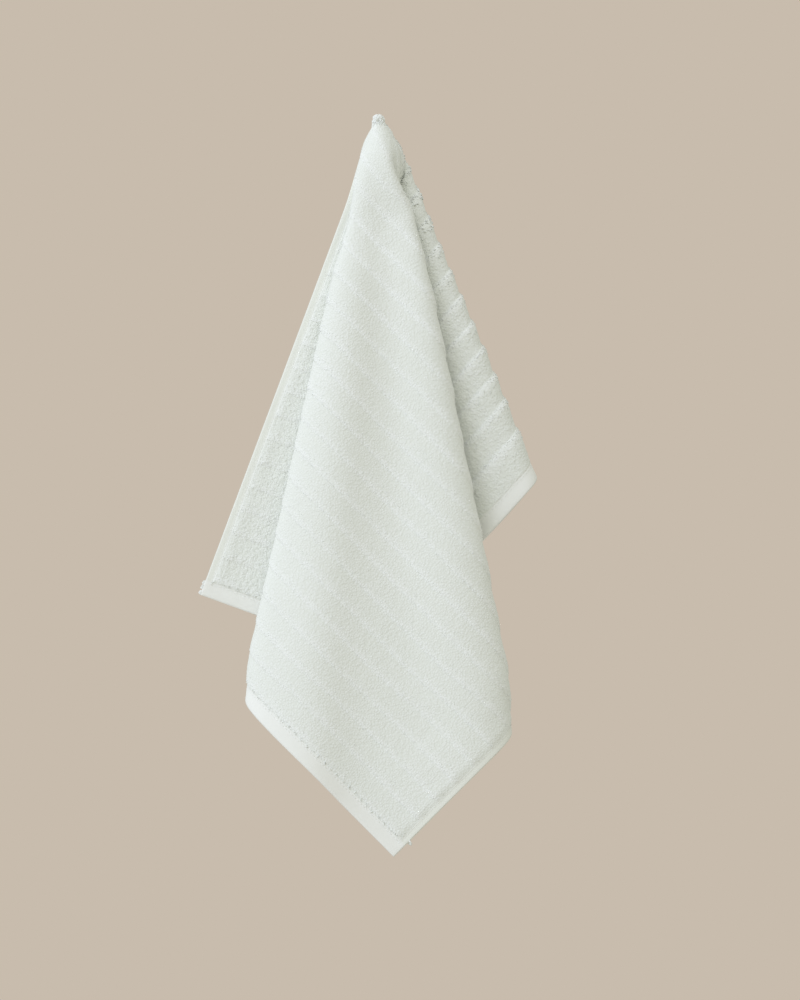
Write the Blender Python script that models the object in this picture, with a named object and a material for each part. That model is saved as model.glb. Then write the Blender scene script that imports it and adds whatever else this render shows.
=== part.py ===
"""A ribbed terry hand towel, held at one point of a long edge and hanging in folds.

Metres, +Z up. The origin is the held point, and the towel hangs down along -Z.
A viewer who faces the towel stands at -Y, with +X to the right.

The towel is made flat, as a thin solid with its ribs raised and its hems left plain.
Each point of it is then carried to its place in the hanging shape.
In the flat towel x runs along the held edge, y runs across the towel and z is the thickness.
"""

import math

import bmesh
import bpy
import numpy as np
from mathutils import Vector

# Flat towel
TOWEL_LENGTH = 0.650
TOWEL_WIDTH = 0.400
HELD_TO_LOW_HEM = 0.3830
HELD_TO_HIGH_HEM = TOWEL_LENGTH - HELD_TO_LOW_HEM
END_HEM = 0.012
SIDE_HEM = 0.0055
GROUND_THICKNESS = 0.0018

# Ribs: each one rises slowly towards the low hem and drops sharply at its end
RIB_COUNT = 33
RIB_PITCH = (TOWEL_LENGTH - 2 * END_HEM) / RIB_COUNT
RIB_HEIGHT = 0.0016
RIB_PROFILE = (
    # share of the pitch, share of the height
    (0.06, 0.00),
    (0.48, 0.75),
    (0.88, 1.00),
)
RIB_CLEAR_OF_PEAK = 0.0025

# The ribs and the back are pressed together where the folds meet at the held point
RIB_PRESSED_HEIGHT = 0.3
RIB_PRESSED_TO = 0.100
BACK_LEFT_AT_PEAK = 0.2
BACK_PRESSED_TO = 0.005

# Where the folds run. Each row is a line down the hanging towel, in order along the cloth
# from its free edge. Reach is sideways and depth is away from the viewer. Both are an angle
# from straight down, with an offset that the bunched layers take up within the spread.
FOLD_LINES = (
    # name, reach degrees, depth degrees, reach offset, depth offset, spread
    ("free edge", -20.40, -1.8, 0.0005, 0.0000, 0.025),
    ("inner fold arrives", -0.65, -0.4, 0.0000, 0.0000, 0.025),
    ("inner fold leaves", -0.65, -2.0, 0.0000, -0.0052, 0.025),
    ("left fold arrives", -12.60, -2.0, -0.0042, -0.0052, 0.025),
    ("left fold leaves", -12.60, -4.5, -0.0042, -0.0070, 0.025),
    ("front, left bow", -8.00, -6.2, 0.0000, -0.0072, 0.025),
    ("front, middle", -1.00, -5.2, 0.0060, -0.0072, 0.050),
    ("front, right bow", 6.00, -6.0, 0.0140, -0.0072, 0.070),
    ("right fold arrives", 11.00, -4.7, 0.0132, -0.0070, 0.040),
    ("right fold leaves", 11.00, -2.0, 0.0132, -0.0024, 0.040),
    ("first hidden fold arrives", -10.00, 0.6, 0.0040, 0.0012, 0.025),
    ("first hidden fold leaves", -10.00, 2.0, 0.0040, 0.0080, 0.025),
    ("second hidden fold arrives", 9.30, 0.9, 0.0010, 0.0064, 0.075),
    ("second hidden fold leaves", 9.30, 2.8, 0.0010, 0.0104, 0.075),
    ("third hidden fold arrives", -9.80, 3.3, 0.0040, 0.0104, 0.025),
    ("third hidden fold leaves", -9.80, 4.8, 0.0040, 0.0160, 0.025),
    ("valley behind the right fold", 11.50, 5.6, -0.0020, 0.0130, 0.025),
    ("flap wall", 13.90, -1.6, 0.0065, 0.0060, 0.025),
    ("flap fold arrives", 21.80, -4.3, 0.0020, 0.0080, 0.012),
    ("flap fold leaves", 23.50, -1.2, 0.0045, 0.0085, 0.012),
    ("flap back", 13.20, 7.4, 0.0120, 0.0205, 0.025),
    ("hidden edge", -2.60, 7.4, 0.0060, 0.0200, 0.025),
)
LINE = {row[0]: index for index, row in enumerate(FOLD_LINES)}

# Two folds are drawn in where the stiff hems cross them
DRAWN_IN_FOLDS = (
    # name, from distance, to distance, moved sideways by
    ("left fold", 0.410, 0.460, 0.0050),
    ("right fold", 0.425, 0.470, -0.0050),
)

# Angles in the flat towel, from the held edge, at which two of the folds turn
LEFT_FOLD_ANGLE = math.radians(31.4)
FLAP_FOLD_ANGLE = math.radians(153.3)

# Rounding of the folds
FOLD_SOFTNESS = 1.8
CORNER_STEPS = 8

# Close to the held point the cloth has no folds yet: it is a cone, open at the left
CONE_SHARE = (0.52, 0.62)
CONE_START = math.radians(-25.0)
CONE_TURN = math.radians(285.0)
CONE_SHIFT = (0.08, 0.10)
CONE_UNTIL = 0.010
FOLDED_FROM = 0.080

# Thick cloth doesn't bend more sharply than this width along it
BEND_WIDTH = 0.0018
WIDEST_BEND = 90

# The hidden folds, and how they are fitted to the cloth's length
WIDEST_HIDDEN_SHARE = 1.6
FITTING_ROUNDS = 40

# The hanging shape is worked out at these many distances and angles, and read between them
DISTANCE_STEPS = 280
ANGLE_STEPS = 720
FARTHEST = 0.575
DISTANCE_POWER = 1.5

# Rays from the held point along which the flat towel is divided, closer where it folds
RAY_STRETCHES = (
    # from degrees, to degrees, parts
    (0.0, 9.0, 1),
    (9.0, 15.0, 3),
    (15.0, 24.0, 6),
    (24.0, 28.5, 1),
    (28.5, 36.5, 6),
    (36.5, 53.0, 2),
    (53.0, 61.0, 3),
    (61.0, 76.0, 6),
    (76.0, 80.0, 1),
    (80.0, 94.0, 8),
    (94.0, 104.0, 4),
    (104.0, 116.0, 3),
    (116.0, 123.2, 3),
    (123.2, 137.0, 3),
    (137.0, 145.0, 2),
    (145.0, 159.0, 6),
    (159.0, 180.0, 2),
)

# Between these rays the ribs run almost straight down, so the cloth is also divided across
CROSS_WEDGE = (math.radians(72.0), math.radians(110.0))
CROSS_CUTS = (0.008, 0.016, 0.028, 0.045, 0.070, 0.110, 0.170, 0.250, 0.330)

WHITE_TERRY = (0.83, 0.84, 0.80, 1.0)
TERRY_ROUGHNESS = 0.95
MERGE_DISTANCE = 0.0001
CUT_TOLERANCE = 0.000001
TINY = 1e-9
JUST_INSIDE = 1e-6


def clear_scene():
    """Remove the scene's objects."""
    for item in list(bpy.data.objects):
        bpy.data.objects.remove(item, do_unlink=True)


def smooth_step(value, start, end):
    """Rise smoothly from 0 at start to 1 at end."""
    share = np.clip((value - start) / (end - start), 0.0, 1.0)
    return share * share * (3 - 2 * share)


def fold_positions(distance, inner_reach, hidden_share, tail):
    """Return where every fold line lies, as reach and depth, at each distance from the held point."""
    reach_angle, depth_angle = np.radians(np.array([row[1:3] for row in FOLD_LINES])).T
    reach_offset, depth_offset, spread = np.array([row[3:6] for row in FOLD_LINES]).T
    along = distance[:, None]
    taken_up = 1.0 - np.exp(-along / spread)
    reach = reach_offset * taken_up + along * np.sin(reach_angle)
    depth = depth_offset * taken_up + along * np.sin(depth_angle)

    for name, start, end, shift in DRAWN_IN_FOLDS:
        for way in ("arrives", "leaves"):
            reach[:, LINE[f"{name} {way}"]] += shift * smooth_step(distance, start, end)

    for name in ("inner fold arrives", "inner fold leaves"):
        reach[:, LINE[name]] = inner_reach

    middle = reach[:, LINE["second hidden fold arrives"]]
    for order in ("first", "third"):
        for way in ("arrives", "leaves"):
            index = LINE[f"{order} hidden fold {way}"]
            reach[:, index] = middle + hidden_share * (reach[:, index] - middle)

    reach[:, LINE["hidden edge"]] = reach[:, LINE["flap back"]] - tail
    return np.stack((reach, depth), axis=2)


def round_corners(corners):
    """Turn each row of corners into a smooth section, each corner a short parabola."""
    legs = np.linalg.norm(np.diff(corners, axis=1), axis=2)
    half = legs / 2
    pieces = [corners[:, :1]]
    steps = np.linspace(0.0, 1.0, CORNER_STEPS + 1)[None, :, None]
    for index in range(1, corners.shape[1] - 1):
        before = half[:, index - 1]
        after = half[:, index]
        reach = FOLD_SOFTNESS * np.minimum(before, after)
        here = corners[:, index]
        back = (corners[:, index - 1] - here) / np.maximum(legs[:, index - 1], TINY)[:, None]
        ahead = (corners[:, index + 1] - here) / np.maximum(legs[:, index], TINY)[:, None]
        start = here + back * np.minimum(before, reach)[:, None]
        end = here + ahead * np.minimum(after, reach)[:, None]
        curve = (1 - steps) ** 2 * start[:, None]
        curve = curve + 2 * steps * (1 - steps) * here[:, None]
        curve = curve + steps ** 2 * end[:, None]
        pieces.append(curve)
    pieces.append(corners[:, -1:])
    return np.concatenate(pieces, axis=1)


def lengths_along(path):
    """Return the length along each section up to each of its points."""
    steps = np.linalg.norm(np.diff(path, axis=1), axis=2)
    start = np.zeros((path.shape[0], 1))
    return np.concatenate((start, np.cumsum(steps, axis=1)), axis=1)


def last_point_of_corner(name):
    """Return which point of a rounded section ends the corner with this name."""
    return LINE[name] * (CORNER_STEPS + 1)


def solve(measure, wanted, low, high):
    """Find, for each distance, the value between low and high whose measure is the one wanted."""
    for _ in range(FITTING_ROUNDS):
        middle = (low + high) / 2
        short = measure(middle) < wanted
        low = np.where(short, middle, low)
        high = np.where(short, high, middle)
    return (low + high) / 2


def sections(distance):
    """Return the hanging towel's cross sections, each as long as the flat towel is there."""
    nothing = np.zeros_like(distance)
    left_end = last_point_of_corner("left fold arrives")
    flap_end = last_point_of_corner("flap fold arrives")
    plain = fold_positions(distance, nothing, nothing, nothing)
    left = plain[:, LINE["left fold arrives"], 0]
    free = plain[:, LINE["free edge"], 0]

    def to_left_fold(inner):
        path = round_corners(fold_positions(distance, inner, nothing, nothing))
        return lengths_along(path)[:, left_end]

    nearest = np.maximum(left, free)
    inner = solve(to_left_fold, LEFT_FOLD_ANGLE * distance, nearest, nearest + distance)

    def to_flap_fold(share):
        path = round_corners(fold_positions(distance, inner, share, nothing))
        return lengths_along(path)[:, flap_end]

    share = solve(to_flap_fold, FLAP_FOLD_ANGLE * distance, nothing, nothing + WIDEST_HIDDEN_SHARE)

    def whole(tail):
        path = round_corners(fold_positions(distance, inner, share, tail))
        return lengths_along(path)[:, -1]

    tail = solve(whole, math.pi * distance, nothing, distance)
    return round_corners(fold_positions(distance, inner, share, tail))


def cone_section(distance, angle):
    """Return the section of the cone at the held point, as reach and depth."""
    turn = CONE_START + CONE_TURN * angle / math.pi
    reach = distance * (CONE_SHIFT[0] - CONE_SHARE[0] * np.cos(turn))
    depth = distance * (CONE_SHIFT[1] - CONE_SHARE[1] * np.sin(turn))
    return reach, depth


def smooth_along(values, width):
    """Smooth a row of values over a width given in steps, and keep both its ends in place."""
    reach = int(3 * width)
    if reach < 1:
        return values
    weights = np.exp(-0.5 * (np.arange(-reach, reach + 1) / width) ** 2)
    before = 2 * values[0] - values[reach:0:-1]
    after = 2 * values[-1] - values[-2:-reach - 2:-1]
    return np.convolve(np.concatenate((before, values, after)), weights / weights.sum(), mode="valid")


def hanging_shape():
    """Return points and face directions of the hanging cloth, for each distance and flat angle."""
    share = np.linspace(0.0, 1.0, DISTANCE_STEPS + 1)[1:]
    distance = FARTHEST * share ** DISTANCE_POWER
    angle = np.linspace(0.0, math.pi, ANGLE_STEPS + 1)
    paths = sections(distance)
    lengths = lengths_along(paths)
    points = np.zeros((DISTANCE_STEPS + 1, ANGLE_STEPS + 1, 3))
    for row, path in enumerate(paths):
        wanted = angle / math.pi * lengths[row, -1]
        folded = smooth_step(distance[row], CONE_UNTIL, FOLDED_FROM)
        cone_reach, cone_depth = cone_section(distance[row], angle)
        reach = folded * np.interp(wanted, lengths[row], path[:, 0]) + (1 - folded) * cone_reach
        depth = folded * np.interp(wanted, lengths[row], path[:, 1]) + (1 - folded) * cone_depth
        width = BEND_WIDTH / distance[row] * ANGLE_STEPS / math.pi
        reach = smooth_along(reach, min(width, WIDEST_BEND))
        depth = smooth_along(depth, min(width, WIDEST_BEND))
        drop = np.sqrt(np.maximum(distance[row] ** 2 - reach ** 2 - depth ** 2, 0.0))
        points[row + 1] = np.stack((reach, depth, -drop), axis=1)
    down = np.gradient(points, axis=0)
    across = np.gradient(points, axis=1)
    facing = np.cross(down, across)
    facing[0] = (0.0, 0.0, 1.0)
    facing /= np.maximum(np.linalg.norm(facing, axis=2, keepdims=True), TINY)
    return points, facing


def read_shape(table, distance, angle):
    """Read a table of the hanging shape between its rows and columns."""
    row = min(DISTANCE_STEPS * (distance / FARTHEST) ** (1 / DISTANCE_POWER), DISTANCE_STEPS - JUST_INSIDE)
    column = min(max(ANGLE_STEPS * angle / math.pi, 0.0), ANGLE_STEPS - JUST_INSIDE)
    i = int(row)
    j = int(column)
    u = row - i
    v = column - j
    upper = table[i, j] * (1 - v) + table[i, j + 1] * v
    lower = table[i + 1, j] * (1 - v) + table[i + 1, j + 1] * v
    return upper * (1 - u) + lower * u


def hang(shape, point):
    """Carry a point of the flat towel to its place in the hanging one."""
    points, facing = shape
    distance = math.hypot(point.x, point.y)
    angle = math.atan2(point.y, point.x)
    place = read_shape(points, distance, angle)
    direction = read_shape(facing, distance, angle)
    direction /= max(np.linalg.norm(direction), TINY)
    offset = point.z
    if offset < 0:
        offset *= min(1.0, BACK_LEFT_AT_PEAK + distance / BACK_PRESSED_TO)
    return Vector(place + offset * direction)


def rib_lines():
    """Return the places along the towel where it is divided for its ribs and end hems."""
    start = -HELD_TO_HIGH_HEM + END_HEM
    lines = [HELD_TO_LOW_HEM - END_HEM]
    for rib in range(RIB_COUNT):
        for share, _ in RIB_PROFILE:
            lines.append(start + (rib + share) * RIB_PITCH)
    return [x for x in lines if abs(x) > RIB_CLEAR_OF_PEAK]


def rib_relief(x, y):
    """Return how far the ribs stand above the ground weave at a point of the flat towel."""
    along = x + HELD_TO_HIGH_HEM - END_HEM
    on_end_hem = along < CUT_TOLERANCE or along > RIB_COUNT * RIB_PITCH - CUT_TOLERANCE
    on_side_hem = min(y, TOWEL_WIDTH - y) < SIDE_HEM + CUT_TOLERANCE
    if on_end_hem or on_side_hem:
        return 0.0
    groove = RIB_PROFILE[0][0]
    share = (along / RIB_PITCH - groove + CUT_TOLERANCE) % 1.0
    stops = [row[0] - groove for row in RIB_PROFILE] + [1.0]
    heights = [row[1] for row in RIB_PROFILE] + [0.0]
    pressed = RIB_PRESSED_HEIGHT + (1 - RIB_PRESSED_HEIGHT) * min(1.0, math.hypot(x, y) / RIB_PRESSED_TO)
    return RIB_HEIGHT * pressed * float(np.interp(share, stops, heights))


def ray_angles():
    """Return the angles of the rays that divide the towel, without the held edge itself."""
    angles = []
    for start, end, parts in RAY_STRETCHES:
        for part in range(parts):
            angles.append(math.radians(start + (end - start) * part / parts))
    return angles[1:]


def cut(mesh, faces, through, normal):
    """Divide faces of the mesh along a plane."""
    geometry = set(faces)
    for face in faces:
        geometry.update(face.verts)
        geometry.update(face.edges)
    bmesh.ops.bisect_plane(mesh, geom=list(geometry), dist=CUT_TOLERANCE, plane_co=through, plane_no=normal)


def in_cross_wedge(face):
    """Tell whether a face lies where the ribs run almost straight down."""
    middle = face.calc_center_median()
    return CROSS_WEDGE[0] < math.atan2(middle.y, middle.x) < CROSS_WEDGE[1]


def flat_sheet():
    """Make the flat towel as one layer of faces, divided where it folds and where its ribs run."""
    mesh = bmesh.new()
    bmesh.ops.create_grid(mesh, x_segments=1, y_segments=1, size=0.5)
    middle = (HELD_TO_LOW_HEM - HELD_TO_HIGH_HEM) / 2
    bmesh.ops.scale(mesh, vec=(TOWEL_LENGTH, TOWEL_WIDTH, 1.0), verts=mesh.verts)
    bmesh.ops.translate(mesh, vec=(middle, TOWEL_WIDTH / 2, 0.0), verts=mesh.verts)
    for angle in ray_angles():
        cut(mesh, mesh.faces, (0, 0, 0), (-math.sin(angle), math.cos(angle), 0))
    for x in rib_lines():
        cut(mesh, mesh.faces, (x, 0, 0), (1, 0, 0))
    for y in CROSS_CUTS:
        cut(mesh, [face for face in mesh.faces if in_cross_wedge(face)], (0, y, 0), (0, 1, 0))
    for y in (SIDE_HEM, TOWEL_WIDTH - SIDE_HEM):
        cut(mesh, mesh.faces, (0, y, 0), (0, 1, 0))
    bmesh.ops.remove_doubles(mesh, verts=mesh.verts, dist=MERGE_DISTANCE)
    bmesh.ops.triangulate(mesh, faces=mesh.faces, quad_method="SHORT_EDGE")
    return mesh


def thicken(mesh):
    """Give the flat layer its thickness and raise its ribs."""
    layer = bmesh.ops.extrude_face_region(mesh, geom=mesh.faces[:])
    top = {item for item in layer["geom"] if isinstance(item, bmesh.types.BMVert)}
    for point in mesh.verts:
        if point in top:
            point.co.z = GROUND_THICKNESS / 2 + rib_relief(point.co.x, point.co.y)
        else:
            point.co.z = -GROUND_THICKNESS / 2


def terry_material():
    """Make the white terry's material."""
    material = bpy.data.materials.new("white_terry")
    material.use_nodes = True
    shader = material.node_tree.nodes["Principled BSDF"]
    shader.inputs["Base Color"].default_value = WHITE_TERRY
    shader.inputs["Roughness"].default_value = TERRY_ROUGHNESS
    shader.inputs["Metallic"].default_value = 0.0
    return material


def make_towel(collection):
    """Make the hanging towel."""
    mesh = flat_sheet()
    thicken(mesh)
    shape = hanging_shape()
    for point in mesh.verts:
        point.co = hang(shape, point.co)
    bmesh.ops.recalc_face_normals(mesh, faces=mesh.faces)
    data = bpy.data.meshes.new("towel")
    mesh.to_mesh(data)
    mesh.free()
    data.materials.append(terry_material())
    towel = bpy.data.objects.new("towel", data)
    collection.objects.link(towel)
    return towel


def main():
    clear_scene()
    collection = bpy.data.collections.new("hand_towel")
    bpy.context.scene.collection.children.link(collection)
    make_towel(collection)


main()
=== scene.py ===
# %% [markdown]
# # A ribbed terry hand towel, hung by one point
#
# The real thing is a single length of sculpted terry, 40 x 65 cm, with its four edges turned and sewn.
# It hangs from one point of a long edge, so all its folds run down from that point like rays.
# This script dresses the plain model of the towel with a finer cloth, its pile and its stitching.
# Lengths are in metres, +Z is up, and a viewer who faces the towel stands at -Y.

import math

import bpy
import numpy as np
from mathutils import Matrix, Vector, noise


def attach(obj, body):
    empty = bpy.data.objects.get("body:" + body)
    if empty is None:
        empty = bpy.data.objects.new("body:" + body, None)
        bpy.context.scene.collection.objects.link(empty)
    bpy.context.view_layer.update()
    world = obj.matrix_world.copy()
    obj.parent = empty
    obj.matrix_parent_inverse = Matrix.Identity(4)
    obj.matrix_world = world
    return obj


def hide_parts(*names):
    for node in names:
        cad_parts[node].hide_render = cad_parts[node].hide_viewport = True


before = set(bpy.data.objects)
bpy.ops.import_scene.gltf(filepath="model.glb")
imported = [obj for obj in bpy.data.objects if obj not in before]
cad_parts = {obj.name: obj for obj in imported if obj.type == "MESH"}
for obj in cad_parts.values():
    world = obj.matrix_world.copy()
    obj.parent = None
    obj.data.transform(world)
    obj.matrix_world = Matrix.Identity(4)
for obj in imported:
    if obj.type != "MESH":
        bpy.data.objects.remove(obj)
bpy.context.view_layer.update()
MM = 0.001


# %% [markdown]
# ## The camera
#
# The towel fills a tall picture, seen straight on from well back, so its edges hardly converge.
# A lens is easiest to find from the picture itself: its focal length in pixels, at the picture's own height,
# turns into millimetres once the height of the film is known.

# %% Camera
PICTURE_HEIGHT = 1000
FOCAL_PIXELS = 3456
FILM_HEIGHT_MM = 36.0
VIEW_DISTANCE = 2.6
CAMERA_RIGHT = 0.0166
CAMERA_BELOW = 0.288

bpy.ops.object.select_all(action="DESELECT")
bpy.ops.object.camera_add(
    location=(CAMERA_RIGHT, -VIEW_DISTANCE, -CAMERA_BELOW),
    rotation=(math.radians(90), 0, 0),
)
camera = bpy.context.object
camera.name = "picture_camera"
camera.data.sensor_width = FILM_HEIGHT_MM
camera.data.lens = FILM_HEIGHT_MM * FOCAL_PIXELS / PICTURE_HEIGHT
bpy.context.scene.camera = camera
print("Lens:", round(camera.data.lens, 1), "mm")


# %% [markdown]
# ## Colours and nodes
#
# Colours are easiest to choose as the hex values that a screen shows.
# Blender's shaders want linear values, so one small function turns them.
# Another adds a node to a material or to the world. A link from a node takes its first output.

# %% Colour and node helpers
def linear(hex_colour):
    """Turn an sRGB hex colour into the linear values that shaders take, with full opacity."""
    parts = [int(hex_colour[i : i + 2], 16) / 255 for i in (1, 3, 5)]
    return (*(p / 12.92 if p <= 0.04045 else ((p + 0.055) / 1.055) ** 2.4 for p in parts), 1.0)


def add_node(tree, kind, settings=None, links=None):
    """Add a shader node with its settings, and links to its inputs from outputs or from other nodes."""
    node = tree.nodes.new("ShaderNode" + kind)
    for name, value in (settings or {}).items():
        if isinstance(name, int) or name in node.inputs:
            node.inputs[name].default_value = value
        else:
            setattr(node, name, value)
    for name, source in (links or {}).items():
        output = source.outputs[0] if isinstance(source, bpy.types.Node) else source
        tree.links.new(output, node.inputs[name])
    return node


# %% [markdown]
# ## Light
#
# The towel hangs in an even, bright room. Most of the light comes from its pale, slightly yellow
# surroundings, which keep every shadow soft. Three broad lights do the modelling: daylight from high on the
# left and level with the cloth on the left, so that the left side of each fold is brightest and coolest, and
# a light from above in front, which reaches into the valleys.

# %% Lights
LIGHTS = (
    # name, place, colour, watts, size
    ("daylight_high_left", (-1.7, -1.8, 1.3), "#DDE6FF", 17, 1.2),
    ("daylight_left", (-2.5, -1.0, -0.40), "#DDEAFF", 14.5, 1.0),
    ("light_above", (-0.6, -1.6, 2.2), "#F0F2FF", 17, 1.2),
)
LIGHT_AIM = Vector((0, 0, -0.28))


def add_area_light(name, place, colour, watts, size):
    """Add a square area light that faces the towel."""
    bpy.ops.object.light_add(type="AREA", location=place)
    light = bpy.context.object
    light.name = name
    light.rotation_euler = (LIGHT_AIM - Vector(place)).to_track_quat("-Z", "Y").to_euler()
    light.data.color = linear(colour)[:3]
    light.data.energy = watts
    light.data.size = size


for light_row in LIGHTS:
    add_area_light(*light_row)
print("Lights:", ", ".join(light_row[0] for light_row in LIGHTS))


# %% [markdown]
# What the lens sees behind the towel is a plain tone, darker than the light around, so that a white towel
# stands out: the world's shader tells the two apart. The standard view transform shows white as white.

# %% Surroundings
ROOM_LIGHT = "#FDFFF4"
ROOM_STRENGTH = 0.58
BACKGROUND = "#C8BCAD"

world = bpy.data.worlds.new("pale_room")
world.use_nodes = True
sky = world.node_tree
room = sky.nodes["Background"]
room.inputs["Color"].default_value = linear(ROOM_LIGHT)
room.inputs["Strength"].default_value = ROOM_STRENGTH
background = add_node(sky, "Background", {"Color": linear(BACKGROUND)})
to_camera = add_node(sky, "LightPath").outputs["Is Camera Ray"]
seen = add_node(sky, "MixShader", links={0: to_camera, 1: room, 2: background})
sky.links.new(seen.outputs["Shader"], sky.nodes["World Output"].inputs["Surface"])
bpy.context.scene.world = world
bpy.context.scene.view_settings.view_transform = "Standard"
print("World:", world.name)


# %% [markdown]
# A plain pale floor lies well below the towel, out of the picture, and throws a little light up.

# %% Floor
FLOOR = "#D9D3CA"
FLOOR_ROUGHNESS = 0.8
FLOOR_BELOW = 1.60
FLOOR_RADIUS = 3.0

bpy.ops.mesh.primitive_circle_add(vertices=64, radius=FLOOR_RADIUS, fill_type="NGON")
floor = bpy.context.object
floor.name = "floor"
floor.data.transform(floor.matrix_world)
for corner in floor.data.vertices:
    corner.co.z -= FLOOR_BELOW
floor_paint = bpy.data.materials.new("matt_floor_paint")
floor_paint.use_nodes = True
paint = floor_paint.node_tree.nodes["Principled BSDF"].inputs
paint["Base Color"].default_value = linear(FLOOR)
paint["Roughness"].default_value = FLOOR_ROUGHNESS
floor.data.materials.append(floor_paint)
print("Floor:", FLOOR_BELOW, "m below the held point")


# %% [markdown]
# ## The flat towel
#
# Terry is woven flat, so the towel is first made flat, with the held point at the origin,
# the held edge along X and the cloth's width along Y.
# A plain grid would waste faces between the ribs and have too few at their sharp ends,
# so its columns are moved to where each rib turns.

# %% Sizes of the flat towel
TOWEL_LENGTH = 0.650
TOWEL_WIDTH = 0.400
HELD_TO_LOW_HEM = 0.383
HELD_TO_HIGH_HEM = TOWEL_LENGTH - HELD_TO_LOW_HEM
END_HEM = 12 * MM
SIDE_HEM = 5.5 * MM
CLOTH_THICKNESS = 1.8 * MM
RIB_COUNT = 33
RIB_PITCH = (TOWEL_LENGTH - 2 * END_HEM) / RIB_COUNT
RIBS_START = -HELD_TO_HIGH_HEM + END_HEM

COLUMN_SHARES = (0.0, 0.035, 0.10, 0.28, 0.50, 0.70, 0.82, 0.90, 0.955)
END_HEM_COLUMNS = (0.0, 0.10, 0.35, 0.65, 0.88)
SIDE_HEM_ROWS = (0.0, 0.18, 0.50, 0.82)
ROW_SPACING = 3.0 * MM


def along_places():
    """Return the places of the grid's columns along the towel, from the high hem to the low one."""
    places = [-HELD_TO_HIGH_HEM + END_HEM * share for share in END_HEM_COLUMNS]
    for rib in range(RIB_COUNT):
        places += [RIBS_START + RIB_PITCH * (rib + share) for share in COLUMN_SHARES]
    places += [HELD_TO_LOW_HEM - END_HEM * share for share in (1.0, *reversed(END_HEM_COLUMNS))]
    return np.array(places)


def across_places():
    """Return the places of the grid's rows across the towel, from the held edge."""
    inner = TOWEL_WIDTH - 2 * SIDE_HEM
    rows = round(inner / ROW_SPACING)
    hem = [SIDE_HEM * share for share in SIDE_HEM_ROWS]
    middle = [SIDE_HEM + inner * row / rows for row in range(rows + 1)]
    return np.array(hem + middle + [TOWEL_WIDTH - place for place in reversed(hem)])


columns = along_places()
rows = across_places()
print("Grid:", len(columns), "columns and", len(rows), "rows")


# %% [markdown]
# A mesh's points are quickest to read and to write all at once, as an array.

# %% Read, write and select
def read_points(mesh):
    """Return a mesh's points as an array."""
    flat = np.empty(len(mesh.vertices) * 3)
    mesh.vertices.foreach_get("co", flat)
    return flat.reshape(-1, 3)


def write_points(mesh, points):
    """Write an array of points back to a mesh."""
    mesh.vertices.foreach_set("co", np.ascontiguousarray(points, dtype=np.float64).ravel())
    mesh.update()


def face_centres(mesh):
    """Return the centres of a mesh's faces as an array."""
    centres = np.empty(len(mesh.polygons) * 3)
    mesh.polygons.foreach_get("center", centres)
    return centres.reshape(-1, 3)


def select_faces(mesh, chosen):
    """Select the faces in edit mode for which chosen is true."""
    bpy.ops.object.mode_set(mode="OBJECT")
    mesh.vertices.foreach_set("select", np.zeros(len(mesh.vertices), dtype=bool))
    mesh.edges.foreach_set("select", np.zeros(len(mesh.edges), dtype=bool))
    mesh.polygons.foreach_set("select", chosen)
    bpy.ops.object.mode_set(mode="EDIT")
    bpy.ops.mesh.select_mode(type="FACE")


# %% [markdown]
# The grid operator lays its points out row by row, so the two lists of places can be written straight
# into them. Close to the held point the folds are tight, and the faces there are divided again.
# The sheet becomes a thin closed slab by one extrusion in edit mode, before it is bent.

# %% Flat sheet
FINER_WITHIN = (60 * MM, 22 * MM)

bpy.ops.object.select_all(action="DESELECT")
bpy.ops.mesh.primitive_grid_add(x_subdivisions=len(columns) - 1, y_subdivisions=len(rows) - 1, size=1)
cloth = bpy.context.object
cloth.name = "terry_cloth"
grid = read_points(cloth.data)
column_of = np.rint((grid[:, 0] + 0.5) * (len(columns) - 1)).astype(int)
row_of = np.rint((grid[:, 1] + 0.5) * (len(rows) - 1)).astype(int)
grid[:, 0] = columns[column_of]
grid[:, 1] = rows[row_of]
write_points(cloth.data, grid)

for reach in FINER_WITHIN:
    near = np.linalg.norm(face_centres(cloth.data), axis=1) < reach
    select_faces(cloth.data, near)
    bpy.ops.mesh.subdivide(number_cuts=1)
    bpy.ops.object.mode_set(mode="OBJECT")

bpy.ops.object.mode_set(mode="EDIT")
bpy.ops.mesh.select_all(action="SELECT")
bpy.ops.mesh.extrude_region_move(TRANSFORM_OT_translate={"value": (0, 0, CLOTH_THICKNESS)})
bpy.ops.mesh.select_all(action="SELECT")
bpy.ops.mesh.normals_make_consistent(inside=False)
bpy.ops.object.mode_set(mode="OBJECT")
print("Flat cloth:", len(cloth.data.polygons), "faces")


# %% [markdown]
# ## How the towel hangs
#
# Cloth hardly stretches. Every point stays as far from the held point as it was in the flat towel,
# and the length round each circle about that point stays the same too.
# So the shape is worked out as a row of sections: at each distance, a line that runs back and forth
# through the folds, exactly as long as the half circle of flat cloth it came from.
# The folds are named lines, measured as angles from straight down. Two of them, and the hidden ones,
# are moved until the lengths agree.

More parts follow.
